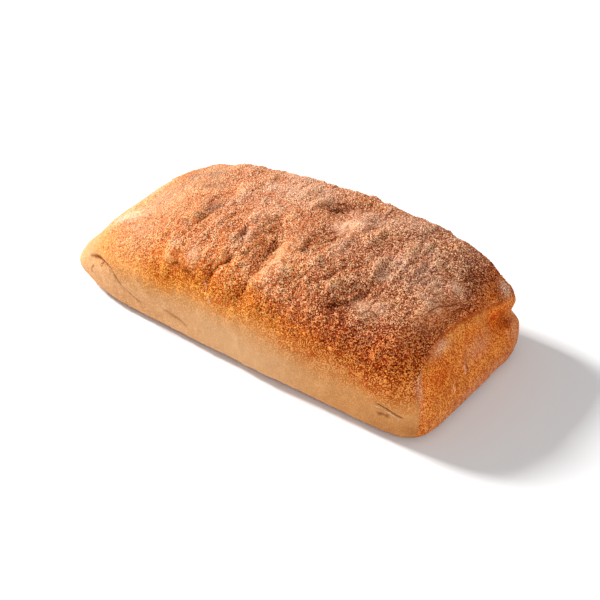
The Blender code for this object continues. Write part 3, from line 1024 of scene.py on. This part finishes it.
    # drier and rougher where it is baked and floury
    dry = timesPlus(zone["flour"], 0.12, timesPlus(speckle, -0.14, 0.80))
    tree.links.new(dry, surface.inputs["Roughness"])

    strength = calc("MAXIMUM", zone["rough"], timesPlus(zone["gold"], 0.35, 0.16))
    relief = times(weighed(patterns["height"], pattern), strength)
    relief = timesPlus(line, -0.5, relief)
    values = {"Strength": 1.0, "Distance": patterns["bump"], "Height": relief}
    tree.links.new(addNode("ShaderNodeBump", values).outputs[0], surface.inputs["Normal"])
    return material


grainRoom = 0.3  # in mm


def fitToCad(mesh):
    # the fine crust keeps exactly to the solid's box, with room for the grains on top
    points = getVectors(mesh)[0]
    low, high = (np.array(corner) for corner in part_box("loaf"))
    high[2] -= grainRoom * mm
    ownLow, ownHigh = points.min(axis=0), points.max(axis=0)
    place(mesh, low + (points - ownLow) * (high - low) / (ownHigh - ownLow))


# what is scattered on the crust: radii in metres, number for each square metre. A lump has
# as many sides and rings as given
grains = {
    "Density": 255000.0, "Smallest": 0.00030, "Largest": 0.00064, "Length": 1.4, "Flatness": 0.85,
    "Unevenness": 0.0005, "Seed": 3, "Sides": 5, "Rings": 3,
}
flecks = {
    "Density": 560000.0, "Smallest": 0.00022, "Largest": 0.00048, "Length": 1.8, "Flatness": 1.0,
    "Unevenness": 0.0003, "Seed": 11, "Sides": 4, "Rings": 2,
}
blisters = {
    "Density": 26000.0, "Smallest": 0.00045, "Largest": 0.00140, "Length": 1.1, "Flatness": 0.38,
    "Unevenness": 0.0004, "Seed": 21, "Sides": 7, "Rings": 5,
}
flourDust = {
    "Density": 650000.0, "Smallest": 0.00020, "Largest": 0.00050, "Length": 1.3, "Flatness": 0.35,
    "Unevenness": 0.0003, "Seed": 31, "Sides": 4, "Rings": 2,
}
warpScale = 1400.0  # of the noise that makes the lumps uneven


def randomBetween(low, high, seed):
    node = addNode("FunctionNodeRandomValue", {2: low, 3: high, 8: seed}, data_type="FLOAT")
    return node.outputs[1]


def scatterTree(name, sizes, mask):
    # small uneven lumps, pressed into the surface where the mask says
    tree, given, out = newTree(name, sizes)
    seed = given["Seed"]
    density = times(named(tree, mask), given["Density"])
    values = {"Mesh": given["Geometry"], "Density": density, "Seed": seed}
    spread = addNode("GeometryNodeDistributePointsOnFaces", values)
    share = calc("POWER", randomBetween(0.0, 1.0, seed), 1.8)  # the small ones are the most
    span = calc("SUBTRACT", given["Largest"], given["Smallest"])
    size = timesPlus(share, span, given["Smallest"])
    side = randomBetween(0.65, 1.1, calc("ADD", seed, 1.0))
    sides = [times(size, part) for part in (given["Length"], side, given["Flatness"])]
    scale = addNode("ShaderNodeCombineXYZ", dict(enumerate(sides)))
    values = {"Segments": given["Sides"], "Rings": given["Rings"], "Radius": 1.0}
    lump = addNode("GeometryNodeMeshUVSphere", values)
    values = {
        "Points": spread.outputs["Points"], "Instance": lump.outputs["Mesh"],
        "Rotation": spread.outputs["Rotation"], "Scale": scale.outputs[0],
    }
    placed = addNode("GeometryNodeInstanceOnPoints", values)
    spin = randomBetween(0.0, 2 * math.pi, calc("ADD", seed, 2.0))
    turn = addNode("ShaderNodeCombineXYZ", {2: spin})
    values = {"Instances": placed.outputs[0], "Rotation": turn.outputs[0], "Local Space": True}
    turned = addNode("GeometryNodeRotateInstances", values)
    tint = randomBetween(0.0, 1.0, calc("ADD", seed, 3.0))
    stored = storeNamed(turned.outputs[0], "tint", tint, "INSTANCE")
    real = addNode("GeometryNodeRealizeInstances", {"Geometry": stored})
    where = tree.nodes.new("GeometryNodeInputPosition").outputs[0]
    warp = addNode("ShaderNodeTexNoise", {"Vector": where, "Scale": warpScale, "Detail": 0.0})
    values = {0: warp.outputs[1], 1: (0.5, 0.5, 0.5)}
    warp = addNode("ShaderNodeVectorMath", values, operation="SUBTRACT")
    finishTree(tree, given, out, shift(real.outputs[0], warp.outputs[0], given["Unevenness"]))
    return tree


def grainMaterial(name, bright, pale):
    # bright: how many have the speckles' colour. pale: share of flour in the palest
    material, tree, surface = newMaterial(name, 0.68, colours["specular"])
    zone = readZones(tree, "bake near far toast flour smudge glow dusted tint")
    where = tree.nodes.new("ShaderNodeTexCoord").outputs["Object"]
    ground, peach = bakedTones(zone)
    palest = times(sharpen(zone["tint"], 0.85, 1.0, 0.0, pale), zone["bake"])
    palest = calc("SUBTRACT", palest, zone["toast"])
    colour = layered(
        mixColour(sharpen(zone["tint"], 1 - bright - 0.1, 1 - bright + 0.1), ground, peach),
        # the far part lighter: paler crust, and partly painted light from the key
        (times(zone["far"], 0.5), "farPaleAndLit"),
        (calc("MAXIMUM", zone["flour"], palest), "flour"),
        (times(zone["smudge"], 0.6), "smudge"),
    )
    speck = noiseAt(where, patterns["noise"]["dust"][0], 1.0)
    colour = mixColour(sharpen(speck, 0.45, 0.65, 0.25, 0.0), colour, ground)
    tree.links.new(colour, surface.inputs["Base Color"])
    tree.links.new(sharpen(speck, 0.3, 0.7, 0.6, 0.85), surface.inputs["Roughness"])
    return material


def scatter(source, name, sizes, mask, bright, pale):
    material = grainMaterial(name, bright, pale)
    piece = runTree(source, name, scatterTree(name, sizes, mask), sizes, material)
    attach(piece, "root")
    faces = sum(len(face.vertices) - 2 for face in piece.data.polygons)
    print(name, "ready:", faces, "triangles")


buildStudio()
print("studio ready")
form = buildForm()
furrowShade = cutCracks(form)
storeZones(form, furrowShade, wrinkleRim(form))
print("form ready:", len(form.polygons), "faces")
crust = runTree(form, "crust", reliefTree(), crustRelief, crustMaterial())
fitToCad(crust.data)
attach(crust, "root")
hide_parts("loaf")
print("crust ready:", len(crust.data.polygons), "faces")

scatter(crust.data, "crustGrains", grains, "rough", 0.35, 0.4)
scatter(crust.data, "crustFlecks", flecks, "rough", 0.55, 0.6)
scatter(crust.data, "crustBlisters", blisters, "blistered", 0.7, 0.5)
scatter(crust.data, "flourDust", flourDust, "flour", 0.8, 0.8)
